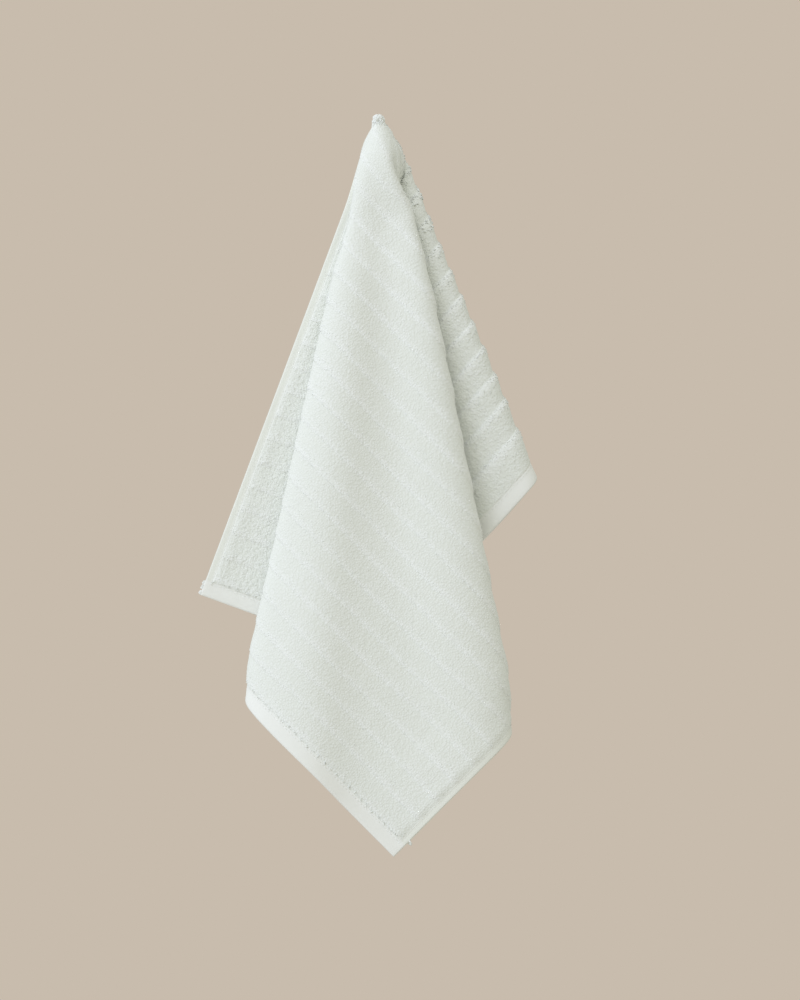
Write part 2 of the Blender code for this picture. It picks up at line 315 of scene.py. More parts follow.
# %% Where the folds run
FOLD_LINES = (
    # name, reach degrees, depth degrees, reach offset, depth offset, spread
    ("free edge", -20.40, -1.8, 0.0005, 0.0000, 0.025),
    ("inner fold arrives", -0.65, -0.4, 0.0000, 0.0000, 0.025),
    ("inner fold leaves", -0.65, -2.0, 0.0000, -0.0052, 0.025),
    ("left fold arrives", -12.60, -2.0, -0.0042, -0.0052, 0.025),
    ("left fold leaves", -12.60, -4.5, -0.0042, -0.0070, 0.025),
    ("front, left bow", -8.00, -6.2, 0.0000, -0.0072, 0.025),
    ("front, middle", -1.00, -5.2, 0.0060, -0.0072, 0.050),
    ("front, right bow", 6.00, -6.0, 0.0140, -0.0072, 0.070),
    ("right fold arrives", 11.00, -4.7, 0.0132, -0.0070, 0.040),
    ("right fold leaves", 11.00, -2.0, 0.0132, -0.0024, 0.040),
    ("first hidden fold arrives", -10.00, 0.6, 0.0040, 0.0012, 0.025),
    ("first hidden fold leaves", -10.00, 2.0, 0.0040, 0.0080, 0.025),
    ("second hidden fold arrives", 9.30, 0.9, 0.0010, 0.0064, 0.075),
    ("second hidden fold leaves", 9.30, 2.8, 0.0010, 0.0104, 0.075),
    ("third hidden fold arrives", -9.80, 3.3, 0.0040, 0.0104, 0.025),
    ("third hidden fold leaves", -9.80, 4.8, 0.0040, 0.0160, 0.025),
    ("valley behind the right fold", 11.50, 5.6, -0.0020, 0.0130, 0.025),
    ("flap wall", 13.90, -1.6, 0.0065, 0.0060, 0.025),
    ("flap fold arrives", 21.80, -4.3, 0.0020, 0.0080, 0.012),
    ("flap fold leaves", 23.50, -1.2, 0.0045, 0.0085, 0.012),
    ("flap back", 13.20, 7.4, 0.0120, 0.0205, 0.025),
    ("hidden edge", -2.60, 7.4, 0.0060, 0.0200, 0.025),
)
LINE = {row[0]: index for index, row in enumerate(FOLD_LINES)}
DRAWN_IN_FOLDS = (
    # name, from distance, to distance, moved sideways by
    ("left fold", 0.410, 0.460, 0.0050),
    ("right fold", 0.425, 0.470, -0.0050),
)
LEFT_FOLD_ANGLE = math.radians(31.4)
FLAP_FOLD_ANGLE = math.radians(153.3)
FOLD_SOFTNESS = 1.8
CORNER_STEPS = 8
WIDEST_HIDDEN_SHARE = 1.6
FITTING_ROUNDS = 40
TINY = 1e-9


def smooth_step(value, start, end):
    """Rise smoothly from 0 at start to 1 at end."""
    share = np.clip((value - start) / (end - start), 0.0, 1.0)
    return share * share * (3 - 2 * share)


def fold_positions(distance, inner_reach, hidden_share, tail):
    """Return where every fold line lies, as reach and depth, at each distance from the held point."""
    reach_angle, depth_angle = np.radians(np.array([row[1:3] for row in FOLD_LINES])).T
    reach_offset, depth_offset, spread = np.array([row[3:6] for row in FOLD_LINES]).T
    along = distance[:, None]
    taken_up = 1.0 - np.exp(-along / spread)
    reach = reach_offset * taken_up + along * np.sin(reach_angle)
    depth = depth_offset * taken_up + along * np.sin(depth_angle)
    for name, start, end, shift in DRAWN_IN_FOLDS:
        for way in ("arrives", "leaves"):
            reach[:, LINE[f"{name} {way}"]] += shift * smooth_step(distance, start, end)
    for name in ("inner fold arrives", "inner fold leaves"):
        reach[:, LINE[name]] = inner_reach
    middle = reach[:, LINE["second hidden fold arrives"]]
    for order in ("first", "third"):
        for way in ("arrives", "leaves"):
            index = LINE[f"{order} hidden fold {way}"]
            reach[:, index] = middle + hidden_share * (reach[:, index] - middle)
    reach[:, LINE["hidden edge"]] = reach[:, LINE["flap back"]] - tail
    return np.stack((reach, depth), axis=2)


# %% [markdown]
# Thick cloth turns in a curve, so every corner of a section is rounded. Bisection, the plainest way to
# solve for one number, then finds how far the inner fold, the hidden folds and the last edge reach.

# %% Sections that are as long as the flat cloth
def round_corners(corners):
    """Turn each row of corners into a smooth section, each corner a short parabola."""
    legs = np.linalg.norm(np.diff(corners, axis=1), axis=2)
    half = legs / 2
    pieces = [corners[:, :1]]
    steps = np.linspace(0.0, 1.0, CORNER_STEPS + 1)[None, :, None]
    for index in range(1, corners.shape[1] - 1):
        before = half[:, index - 1]
        after = half[:, index]
        reach = FOLD_SOFTNESS * np.minimum(before, after)
        here = corners[:, index]
        back = (corners[:, index - 1] - here) / np.maximum(legs[:, index - 1], TINY)[:, None]
        ahead = (corners[:, index + 1] - here) / np.maximum(legs[:, index], TINY)[:, None]
        start = here + back * np.minimum(before, reach)[:, None]
        end = here + ahead * np.minimum(after, reach)[:, None]
        curve = (1 - steps) ** 2 * start[:, None]
        curve = curve + 2 * steps * (1 - steps) * here[:, None]
        curve = curve + steps**2 * end[:, None]
        pieces.append(curve)
    pieces.append(corners[:, -1:])
    return np.concatenate(pieces, axis=1)


def lengths_along(path):
    """Return the length along each section up to each of its points."""
    steps = np.linalg.norm(np.diff(path, axis=1), axis=2)
    start = np.zeros((path.shape[0], 1))
    return np.concatenate((start, np.cumsum(steps, axis=1)), axis=1)


def solve(measure, wanted, low, high):
    """Find, for each distance, the value between low and high whose measure is the one wanted."""
    for _ in range(FITTING_ROUNDS):
        middle = (low + high) / 2
        short = measure(middle) < wanted
        low = np.where(short, middle, low)
        high = np.where(short, high, middle)
    return (low + high) / 2


def sections(distance):
    """Return the hanging towel's cross sections, each as long as the flat towel is there."""
    nothing = np.zeros_like(distance)
    found = [nothing, nothing, nothing]

    def find(unknown, end, wanted, low, high):
        """Find how far one of the three moved folds reaches, so that the length up to end is right."""

        def length(reach):
            trial = [*found[:unknown], reach, *found[unknown + 1 :]]
            return lengths_along(round_corners(fold_positions(distance, *trial)))[:, end]

        found[unknown] = solve(length, wanted, low, high)

    plain = fold_positions(distance, *found)
    nearest = np.maximum(plain[:, LINE["left fold arrives"], 0], plain[:, LINE["free edge"], 0])
    left_end = LINE["left fold arrives"] * (CORNER_STEPS + 1)
    flap_end = LINE["flap fold arrives"] * (CORNER_STEPS + 1)
    find(0, left_end, LEFT_FOLD_ANGLE * distance, nearest, nearest + distance)
    find(1, flap_end, FLAP_FOLD_ANGLE * distance, nothing, nothing + WIDEST_HIDDEN_SHARE)
    find(2, -1, math.pi * distance, nothing, distance)
    return round_corners(fold_positions(distance, *found))


# %% [markdown]
# Right at the held point there is no room for folds: the cloth is a small cone, open at the left.
# The sections pass from that cone into the folds, and are then stored as one table of places and one of
# directions, so that any point of the cloth can be looked up quickly, a whole array at a time.

# %% The hanging shape as a table
CONE_SHARE = (0.52, 0.62)
CONE_START = math.radians(-25.0)
CONE_TURN = math.radians(285.0)
CONE_SHIFT = (0.08, 0.10)
CONE_UNTIL = 0.010
FOLDED_FROM = 0.080
BEND_WIDTH = 1.8 * MM
WIDEST_BEND_SHARE = 0.125
DISTANCE_STEPS = 420
ANGLE_STEPS = 1080
FARTHEST = 0.575
DISTANCE_POWER = 1.5


def smooth_along(values, width):
    """Smooth a row of values over a width given in steps, and keep both its ends in place."""
    reach = int(3 * width)
    if reach < 1:
        return values
    weights = np.exp(-0.5 * (np.arange(-reach, reach + 1) / width) ** 2)
    before = 2 * values[0] - values[reach:0:-1]
    after = 2 * values[-1] - values[-2 : -reach - 2 : -1]
    return np.convolve(np.concatenate((before, values, after)), weights / weights.sum(), mode="valid")


def hanging_shape():
    """Return tables of places and face directions, for each distance and flat angle."""
    share = np.linspace(0.0, 1.0, DISTANCE_STEPS + 1)[1:]
    distance = FARTHEST * share**DISTANCE_POWER
    angle = np.linspace(0.0, math.pi, ANGLE_STEPS + 1)
    turn = CONE_START + CONE_TURN * angle / math.pi
    paths = sections(distance)
    lengths = lengths_along(paths)
    places = np.zeros((DISTANCE_STEPS + 1, ANGLE_STEPS + 1, 3))
    for row, path in enumerate(paths):
        away = distance[row]
        wanted = angle / math.pi * lengths[row, -1]
        folded = smooth_step(away, CONE_UNTIL, FOLDED_FROM)
        cone_reach = away * (CONE_SHIFT[0] - CONE_SHARE[0] * np.cos(turn))
        cone_depth = away * (CONE_SHIFT[1] - CONE_SHARE[1] * np.sin(turn))
        reach = folded * np.interp(wanted, lengths[row], path[:, 0]) + (1 - folded) * cone_reach
        depth = folded * np.interp(wanted, lengths[row], path[:, 1]) + (1 - folded) * cone_depth
        width = min(BEND_WIDTH / away * ANGLE_STEPS / math.pi, ANGLE_STEPS * WIDEST_BEND_SHARE)
        reach = smooth_along(reach, width)
        depth = smooth_along(depth, width)
        drop = np.sqrt(np.maximum(away**2 - reach**2 - depth**2, 0.0))
        places[row + 1] = np.stack((reach, depth, -drop), axis=1)
    facing = np.cross(np.gradient(places, axis=0), np.gradient(places, axis=1))
    facing[0] = (0.0, 0.0, 1.0)
    facing /= np.maximum(np.linalg.norm(facing, axis=2, keepdims=True), TINY)
    return places, facing


PLACES, FACING = hanging_shape()
print("The hanging shape:", PLACES.shape[0], "distances and", PLACES.shape[1], "angles")


# %% [markdown]
# A point between the table's entries takes its place from the four around it. The cloth has a thickness, so
# a point over its middle layer is moved out along the direction in which the cloth faces.

# %% Hang any point
def look_up(table, x, y):
    """Read a table of the hanging shape at points of the flat towel."""
    distance = np.hypot(x, y)
    angle = np.arctan2(np.maximum(y, 0.0), x)
    row = np.clip(DISTANCE_STEPS * (distance / FARTHEST) ** (1 / DISTANCE_POWER), 0, DISTANCE_STEPS - TINY)
    column = np.clip(ANGLE_STEPS * angle / math.pi, 0, ANGLE_STEPS - TINY)
    i = row.astype(int)
    j = column.astype(int)
    u = (row - i)[:, None]
    v = (column - j)[:, None]
    upper = table[i, j] * (1 - v) + table[i, j + 1] * v
    lower = table[i + 1, j] * (1 - v) + table[i + 1, j + 1] * v
    return upper * (1 - u) + lower * u


def hang(x, y, height):
    """Carry points of the flat towel, at a height over its middle layer, to their places."""
    direction = look_up(FACING, x, y)
    direction /= np.maximum(np.linalg.norm(direction, axis=1, keepdims=True), TINY)
    return look_up(PLACES, x, y) + direction * height[:, None]


# %% [markdown]
# ## The relief of the cloth
#
# The ribs are sculpted: each is a field of loops that grows longer towards the low hem, and then falls away
# steeply to the next. How much of that shows depends on how the cloth is stretched there. On the short flap
# the ribs stand open like steps, on the broad front they are soft, and along the left fold and on the long
# flap they are nearly pulled flat, as they are on the front near the held point. A small table by the angle
# in the flat towel says so. Beside the side hems the seam holds them down too.
# Round the held point the long edge is also bunched up, so the ribs of the short flap stand a little nearer
# to it than they would in the flat towel.
# Nothing woven is quite even, so the ribs' ends wander a little.

# %% Relief of ribs
RIB_HEIGHT = 1.55 * MM
RIB_SHARES = (*COLUMN_SHARES, 1.0)
RIB_HEIGHTS = (-0.02, 0.00, 0.07, 0.34, 0.68, 0.95, 1.00, 0.83, 0.42, -0.02)
BESIDE_SIDE_HEM = 0.30
BESIDE_SIDE_HEM_WIDTH = 7 * MM
RIB_WANDER = 0.60 * MM
RIB_WANDER_SIZE = 0.030
RIBS_SHOW_AT_DEGREES = (0, 12, 26, 33, 46, 62, 75, 100, 130, 180)
RIBS_SHOW = (0.50, 0.50, 0.36, 0.40, 0.80, 0.78, 0.55, 0.80, 1.00, 1.00)
RIBS_PRESSED_NEAR = (0.010, 0.120)
FLAP_PRESSED_HEIGHT = 0.50
FLAP_PRESSED_TO = 0.070
SHORT_FLAP_FROM = (math.radians(105), math.radians(135))
GATHERED = 8.5 * MM
GATHERED_FROM = (math.radians(105), math.radians(140))
GATHERED_PAST = 30 * MM
GATHERED_UNTIL = (222 * MM, 256 * MM)
GATHERING_ROUNDS = 5


def wander(x, y, size, seed):
    """Return smooth noise from -1 to 1 at points of the cloth, about as coarse as size."""
    values = [noise.noise(Vector((a, b, seed))) for a, b in zip(x / size, y / size)]
    return np.array(values)


def gathered(x, y):
    """Return how far the ribs of the short flap are drawn towards the held point."""
    on_flap = smooth_step(np.arctan2(y, x), *GATHERED_FROM)
    past_peak = smooth_step(np.hypot(x, y), 0.0, GATHERED_PAST)
    before_hem = 1 - smooth_step(-x, *GATHERED_UNTIL)
    return GATHERED * on_flap * past_peak * before_hem


def woven_place(x, y):
    """Return where a point was along the towel before its ribs were gathered."""
    place = x
    for _ in range(GATHERING_ROUNDS):
        place = x - gathered(place, y)
    return place


def step_wander(x, y):
    """Return how far the rib steps are out of line."""
    return RIB_WANDER * wander(x, y, RIB_WANDER_SIZE, 3.0)


def rib_share(x, y):
    """Return how far points lie through their rib, from 0 to 1."""
    return ((woven_place(x, y) + step_wander(x, y) - RIBS_START) / RIB_PITCH) % 1.0


def rib_height(x, y):
    """Return how high the ribs stand at points of the cloth."""
    distance = np.hypot(x, y)
    angle = np.arctan2(y, x)
    show = np.interp(np.degrees(angle), RIBS_SHOW_AT_DEGREES, RIBS_SHOW)
    front = smooth_step(distance, *RIBS_PRESSED_NEAR)
    flap = FLAP_PRESSED_HEIGHT + (1 - FLAP_PRESSED_HEIGHT) * np.minimum(1, distance / FLAP_PRESSED_TO)
    pressed = front + (flap - front) * smooth_step(angle, *SHORT_FLAP_FROM)
    inside = smooth_step(np.minimum(y, TOWEL_WIDTH - y), SIDE_HEM, SIDE_HEM + BESIDE_SIDE_HEM_WIDTH)
    beside_hem = BESIDE_SIDE_HEM + (1 - BESIDE_SIDE_HEM) * inside
    return RIB_HEIGHT * pressed * show * beside_hem * np.interp(rib_share(x, y), RIB_SHARES, RIB_HEIGHTS)


# %% [markdown]
# The four edges are turned twice and sewn. The two end hems are flat bands. The side hems are narrow: a round
# edge, a flat strip down to the seam, and beside it a soft ridge, where the pile is pushed up.
# Everywhere else the loops stand in low lumps.

# %% Relief of hems, and of the whole pile side
END_HEM_SHARES = (*END_HEM_COLUMNS, 1.0)
END_HEM_HEIGHTS = (0.10, 0.40, 0.26, 0.22, -0.12, 0.16)
SIDE_HEM_SHARES = (*SIDE_HEM_ROWS, 1.0)
SIDE_HEM_HEIGHTS = (0.00, 0.16, 0.20, 0.12, 0.16)
HEM_WAVE = 9.0 * MM
HEM_WAVE_HEIGHT = 0.12 * MM
PILE_BEGINS = (0.93, 1.07)
PILE_HEIGHT = 0.3 * MM
LUMP_SIZE = 7.0 * MM
LUMP_HEIGHT = 0.20 * MM
FINE_LUMP_SIZE = LUMP_SIZE / 2.3
FINE_LUMP_SHARE = 0.5
RIDGE_INSIDE = 8.5 * MM
RIDGE_WIDTH = 3.2 * MM
RIDGE_HEIGHT = 0.70 * MM
RIDGE_PATCH = 22 * MM
RIDGE_EVEN_SHARE = 0.8
RIDGE_UNEVEN_SHARE = 0.6


def hem_shares(x, y):
    """Return how far points lie over the nearer end hem and the nearer side hem, from 0 at its edge to 1."""
    over_end = np.minimum(x + HELD_TO_HIGH_HEM, HELD_TO_LOW_HEM - x) / END_HEM
    over_side = np.minimum(y, TOWEL_WIDTH - y) / SIDE_HEM
    return over_end, over_side


def hem_height(x, y):
    """Return the height of the hems over the ground weave."""
    over_end, over_side = hem_shares(x, y)
    end = np.interp(over_end, END_HEM_SHARES, END_HEM_HEIGHTS)
    side = np.interp(over_side, SIDE_HEM_SHARES, SIDE_HEM_HEIGHTS)
    return MM * np.where(over_end < over_side, end, side)


def relief(x, y):
    """Return the height of the pile side over the ground weave."""
    pile = smooth_step(np.minimum(*hem_shares(x, y)), *PILE_BEGINS)
    fine_lumps = FINE_LUMP_SHARE * wander(x, y, FINE_LUMP_SIZE, 17.0)
    lumps = LUMP_HEIGHT * (wander(x, y, LUMP_SIZE, 11.0) + fine_lumps)
    from_side = np.minimum(y, TOWEL_WIDTH - y)
    ridge = RIDGE_HEIGHT * np.exp(-(((from_side - RIDGE_INSIDE) / RIDGE_WIDTH) ** 2))
    ridge *= RIDGE_EVEN_SHARE + RIDGE_UNEVEN_SHARE * wander(x, y, RIDGE_PATCH, 29.0)
    hem = hem_height(x, y) + HEM_WAVE_HEIGHT * wander(x, y, HEM_WAVE, 23.0)
    return pile * (PILE_HEIGHT + rib_height(x, y) + lumps + ridge) + (1 - pile) * hem


# %% [markdown]
# The folds of real cloth aren't perfectly straight and even. A few soft troughs and ridges, each given
# as a line in the flat towel with a width and a height, make the broad front panel gently uneven,
# and a slow swell keeps every layer from lying flat. The valley beside the short flap is fuller than the
# plain folds are, and grows with the distance from the held point as they do.

# %% Creases and swell
CREASES = (
    # name, from angle and distance, to angle and distance, half width, height
    ("trough down the front", 48.0, 0.060, 50.0, 0.450, 0.019, -0.0032),
    ("ridge right of it", 60.0, 0.090, 57.0, 0.470, 0.018, 0.0010),
    ("ridge near the left fold", 39.0, 0.080, 39.5, 0.500, 0.017, 0.0038),
    ("hidden fold behind the shoulder", 127.0, 0.020, 127.0, 0.060, 0.003, 0.0036),
    ("swell on the left flap", 8.0, 0.100, 9.0, 0.380, 0.014, 0.0016),
)
CREASE_ENDS = 0.050
VALLEY_ANGLES = (140.8, 3.7)
VALLEY_FULLNESS = 0.045
VALLEY_BEGINS = (0.020, 0.120)
SWELL_SIZE = 0.085
SWELL_HEIGHT = 0.9 * MM
SWELL_BEGINS = (0.03, 0.15)


def swell(x, y):
    """Return how far creases and the slow swell move the whole cloth along its face direction."""
    distance = np.hypot(x, y)
    angle = np.degrees(np.arctan2(y, x))
    total = SWELL_HEIGHT * wander(x, y, SWELL_SIZE, 31.0) * smooth_step(distance, *SWELL_BEGINS)
    for _, angle_from, start, angle_to, end, half_width, height in CREASES:
        share = np.clip((distance - start) / (end - start), 0, 1)
        aside = np.radians(angle - (angle_from + (angle_to - angle_from) * share)) * distance
        fade = smooth_step(distance, start, start + CREASE_ENDS)
        fade *= 1 - smooth_step(distance, end, end + CREASE_ENDS)
        total += height * fade * np.exp(-0.5 * (aside / half_width) ** 2)
    middle, half_angle = VALLEY_ANGLES
    fullness = VALLEY_FULLNESS * distance * smooth_step(distance, *VALLEY_BEGINS)
    return total + fullness * np.exp(-0.5 * ((angle - middle) / half_angle) ** 2)


# %% [markdown]
# A map of the flat towel goes with every piece of it, so that a weave or a shade follows the cloth
# wherever it folds. One unit of the map is the towel's length.

# %% Flat map and smooth shading
def map_flat(mesh, x, y):
    """Give a mesh its places in the flat towel as a UV map."""
    layer = mesh.uv_layers[0] if mesh.uv_layers else mesh.uv_layers.new()
    layer.name = "flat_cloth"
    corner_points = np.empty(len(mesh.loops), dtype=np.int32)
    mesh.loops.foreach_get("vertex_index", corner_points)
    places = np.stack(((x + HELD_TO_HIGH_HEM) / TOWEL_LENGTH, y / TOWEL_LENGTH), axis=1)
    layer.uv.foreach_set("vector", places[corner_points].astype(np.float32).ravel())


def shade_smooth(piece):
    """Shade a piece smooth."""
    bpy.ops.object.select_all(action="DESELECT")
    piece.select_set(True)
    bpy.context.view_layer.objects.active = piece
    bpy.ops.object.shade_smooth()


# %% [markdown]
# Now the cloth can be hung. Its other side is plain, and is pressed thin where the layers meet at the held
# point. The cloth also keeps two numbers for its material. One says how ruffled the pile is: the flaps have
# been handled more than the broad front. The other says where the crest of each rib runs, so that the
# material can paint a highlight along it and shade off it.

# %% Hang the cloth
BACK_LEFT_AT_PEAK = 0.2
BACK_PRESSED_TO = 0.005
RUFFLED_AT_DEGREES = (0, 24, 34, 95, 130, 180)
RUFFLED = (1.0, 1.0, 0.25, 0.25, 1.0, 1.0)
# Painted highlight: how much paler each part of a rib is painted, most along its crest and steep side.
CREST_PAINTED_HIGHLIGHT = (0.0, 0.0, 0.0, 0.0, 0.0, 0.35, 0.9, 1.0, 0.9, 0.0)

flat = read_points(cloth.data)
on_pile_side = flat[:, 2] > CLOTH_THICKNESS / 2
y = flat[:, 1]
x = flat[:, 0] + gathered(flat[:, 0], y)
pressed_back = np.minimum(1, BACK_LEFT_AT_PEAK + np.hypot(x, y) / BACK_PRESSED_TO)
back_hem = hem_height(x, y) * (np.minimum(*hem_shares(x, y)) < 1)
back = -CLOTH_THICKNESS / 2 * pressed_back - back_hem + LUMP_HEIGHT * wander(x, y, LUMP_SIZE, 41.0)
height = np.where(on_pile_side, CLOTH_THICKNESS / 2 + relief(x, y), back)
map_flat(cloth.data, x, y)
ruffle = cloth.data.attributes.new("ruffle", "FLOAT", "POINT")
degrees = np.degrees(np.arctan2(y, x))
ruffle.data.foreach_set("value", np.interp(degrees, RUFFLED_AT_DEGREES, RUFFLED))
crest = cloth.data.attributes.new("crest", "FLOAT", "POINT")
crest.data.foreach_set("value", np.interp(rib_share(x, y), RIB_SHARES, CREST_PAINTED_HIGHLIGHT))
write_points(cloth.data, hang(x, y, height + swell(x, y)))
shade_smooth(cloth)
print("Hung cloth:", len(cloth.data.polygons), "faces")


# %% [markdown]
# ## One loop of yarn
#
# Terry is a field of small loops. Most of them are too fine to show one by one, and the material draws them.
# But along the end of each rib they stand free, and make its fuzzy line and its ragged outline.
# A loop is a bent thread: a small polygon, spun half round into an arch, and stretched upwards. There are
# two: a plain one, which is copied by the thousand, and a rounder one for the few bigger loops that stand up
# by themselves.

# %% Model one loop
LOOP_WIDTH = 1.0 * MM
LOOP_STRETCH = 1.9
YARN = 0.46 * MM


def start_piece(name):
    """Name the primitive that was just added, and open it in edit mode with all of it selected."""
    piece = bpy.context.object
    piece.name = name
    piece.data.name = name
    bpy.ops.object.mode_set(mode="EDIT")
    bpy.ops.mesh.select_all(action="SELECT")
    return piece


def model_loop(name, sides, bends):
    """Model one loop from a polygon with some sides, spun round in some bends."""
    bpy.ops.object.select_all(action="DESELECT")
    bpy.ops.mesh.primitive_circle_add(vertices=sides, radius=YARN / 2, fill_type="NGON")
    piece = start_piece(name)
    bpy.ops.transform.translate(value=(LOOP_WIDTH / 2, 0, 0))
    bpy.ops.mesh.spin(steps=bends, angle=math.pi, center=(0, 0, 0), axis=(0, 1, 0))
    bpy.ops.mesh.select_all(action="SELECT")
    bpy.ops.transform.resize(value=(1, 1, LOOP_STRETCH), center_override=(0, 0, 0))
    bpy.ops.mesh.normals_make_consistent(inside=False)
    bpy.ops.object.mode_set(mode="OBJECT")
    print(name, len(piece.data.polygons), "faces", [round(side / MM, 2) for side in piece.dimensions])
    return piece


loop = model_loop("one_loop", 3, 3)
round_loop = model_loop("one_round_loop", 6, 8)


# %% [markdown]
# ## One stitch
#
# A lockstitch seam shows as a row of short dashes of thread. Each is a six-sided bar with its ends bevelled.

# %% Model one stitch
STITCH_LENGTH = 2.3 * MM
STITCH_THREAD = 0.55 * MM
STITCH_END_FROM = 0.4 * STITCH_LENGTH
STITCH_BEVEL = 0.22 * STITCH_THREAD

bpy.ops.object.select_all(action="DESELECT")
bpy.ops.mesh.primitive_cylinder_add(
    vertices=6, radius=STITCH_THREAD / 2, depth=STITCH_LENGTH, rotation=(0, math.radians(90), 0)
)
stitch = start_piece("one_stitch")
bpy.ops.object.mode_set(mode="OBJECT")
bpy.ops.object.transform_apply(location=False, rotation=True, scale=False)
select_faces(stitch.data, np.abs(face_centres(stitch.data)[:, 0]) > STITCH_END_FROM)
bpy.ops.mesh.inset(thickness=STITCH_BEVEL, depth=STITCH_BEVEL)
bpy.ops.object.mode_set(mode="OBJECT")
print("one_stitch", len(stitch.data.polygons), "faces", [round(side / MM, 2) for side in stitch.dimensions])


# %% [markdown]
# ## Copies on the cloth
#
# All the copies that are made together are one mesh, with the pattern's faces repeated.

# %% Join copies
def join_copies(name, pattern, points, flat_x, flat_y):
    """Make one mesh of copies of a pattern, from all their points."""
    corners = [list(face.vertices) for face in pattern.data.polygons]
    faces = []
    for start in range(0, len(points), len(pattern.data.vertices)):
        faces += [[start + corner for corner in face] for face in corners]
    mesh = bpy.data.meshes.new(name)
    mesh.from_pydata(points, [], faces)
    piece = bpy.data.objects.new(name, mesh)
    bpy.context.scene.collection.objects.link(piece)
    map_flat(mesh, flat_x, flat_y)
    bpy.context.view_layer.objects.active = piece
    bpy.ops.object.mode_set(mode="EDIT")
    bpy.ops.mesh.select_all(action="SELECT")
    bpy.ops.mesh.normals_make_consistent(inside=False)
    bpy.ops.object.mode_set(mode="OBJECT")
    shade_smooth(piece)
    print(name, len(mesh.polygons) // len(corners), "copies,", len(mesh.polygons), "faces")
    return piece


# %% [markdown]
# Most copies are first placed on the flat towel, where their place is easy to say. Then each of their points
# is hung like the cloth itself, so that a copy stands on the fold it belongs to.

# %% Copy a pattern over the cloth
def surface_height(x, y):
    """Return the height of the pile side's surface over the cloth's middle layer."""
    return CLOTH_THICKNESS / 2 + relief(x, y)


def copy_over(name, pattern, x, y, height, size, turn, side=1):
    """Copy a pattern to places of the flat towel, and hang the copies. Side is -1 for the back."""
    shape = read_points(pattern.data)
    across = shape[None, :, 0] * np.cos(turn)[:, None] - shape[None, :, 1] * np.sin(turn)[:, None]
    along = shape[None, :, 0] * np.sin(turn)[:, None] + shape[None, :, 1] * np.cos(turn)[:, None]
    flat_x = (x[:, None] + across * size[:, None]).ravel()
    flat_y = (y[:, None] + along * size[:, None]).ravel()
    level = (height[:, None] + shape[None, :, 2] * size[:, None]).ravel()
    placed = hang(flat_x, flat_y, side * level + swell(flat_x, flat_y))
    return join_copies(name, pattern, placed, flat_x, flat_y)


# %% [markdown]
# Loose yarn doesn't follow the cloth. It keeps its own shape, and is only stood up in some direction.

# %% Stand a pattern up
ASKEW = 0.3


def stand_up(name, pattern, x, y, sunk, out, size, turn):
    """Stand copies of a pattern on the hung cloth, each with its own up direction, without bending them."""
    shape = read_points(pattern.data)
    place = hang(x, y, surface_height(x, y) - sunk + swell(x, y))
    out = out / np.linalg.norm(out, axis=1, keepdims=True)
    towards = np.stack((np.cos(turn), np.sin(turn), np.full(len(turn), ASKEW)), axis=1)
    sideways = np.cross(out, towards)
    sideways /= np.linalg.norm(sideways, axis=1, keepdims=True)
    axes = np.stack((sideways, np.cross(out, sideways), out), axis=1)
    points = place[:, None] + size[:, None, None] * np.einsum("pk,nkc->npc", shape, axes)
    flat_x, flat_y = (np.repeat(places, len(shape)) for places in (x, y))
    return join_copies(name, pattern, points.reshape(-1, 3), flat_x, flat_y)


# %% [markdown]
# The loops stand thickest along the end of every rib, on its top and on its steep side, and grow sparse away
# from it. Terry is never even, so they differ in size and turn. Where the short flap is pinched near the held
# point they splay, and make small spikes in its outline.

# %% Loops along the rib ends
LOOP_SPACING = 0.60 * MM
LOOPS_END = 0.965
LOOPS_SPREAD = 0.42
LOOP_SIZES = (0.65, 1.05)
LOOP_TURNS = (-0.9, 0.9)
LOOPS_SUNK = 0.85 * MM
FLAP_LOOPS_SUNK = 0.60 * MM
SPLAYED_FROM = math.radians(135)
SPLAYED_UNTIL = (60 * MM, 140 * MM)
SPLAYED_LARGER = 0.9
RIBS_TOGETHER = 11
rng = np.random.default_rng(7)


def splayed(x, y):
    """Return how much the loops splay: 1 close to the held point on the short flap, 0 elsewhere."""
    return (np.arctan2(y, x) > SPLAYED_FROM) * (1 - smooth_step(np.hypot(x, y), *SPLAYED_UNTIL))


def rib_loops(name, first, last):
    """Make the loops along the ends of the ribs from first up to last."""
    count = int((TOWEL_WIDTH - 2 * SIDE_HEM) / LOOP_SPACING)
    xs, ys = [], []
    for rib in range(first, last):
        y = SIDE_HEM + (np.arange(count) + rng.uniform(0.1, 0.9, count)) * LOOP_SPACING
        share = LOOPS_END - LOOPS_SPREAD * rng.uniform(0, 1, count) ** 2
        x = RIBS_START + RIB_PITCH * (rib + share)
        x = x - step_wander(x, y)
        xs.append(x + gathered(x, y))
        ys.append(y)
    x = np.concatenate(xs)
    y = np.concatenate(ys)
    size = rng.uniform(*LOOP_SIZES, len(x)) * (1 + SPLAYED_LARGER * splayed(x, y))
    turn = rng.uniform(*LOOP_TURNS, len(x))
    on_flap = smooth_step(np.arctan2(y, x), *SHORT_FLAP_FROM)
    sunk = size * (LOOPS_SUNK + (FLAP_LOOPS_SUNK - LOOPS_SUNK) * on_flap)
    return copy_over(name, loop, x, y, surface_height(x, y) - sunk, size, turn)


pile_pieces = []
for start in range(0, RIB_COUNT, RIBS_TOGETHER):
    name = f"rib_loops_{start // RIBS_TOGETHER + 1}"
    pile_pieces.append(rib_loops(name, start, start + RIBS_TOGETHER))


# %% [markdown]
# Longer loops stand in little bunches where the pile meets the low hem.

# %% Loops at the low hem
BUNCH_SPACING = 6.2 * MM
BUNCH_LOOPS = 3
BUNCH_SIZES = (0.7, 1.3)
BUNCH_TURNS = (-1.5, 1.5)
BUNCH_SCATTER_MM = 0.8
BUNCH_REACH_MM = (-0.4, 1.6)
BUNCH_SUNK = 0.50 * MM

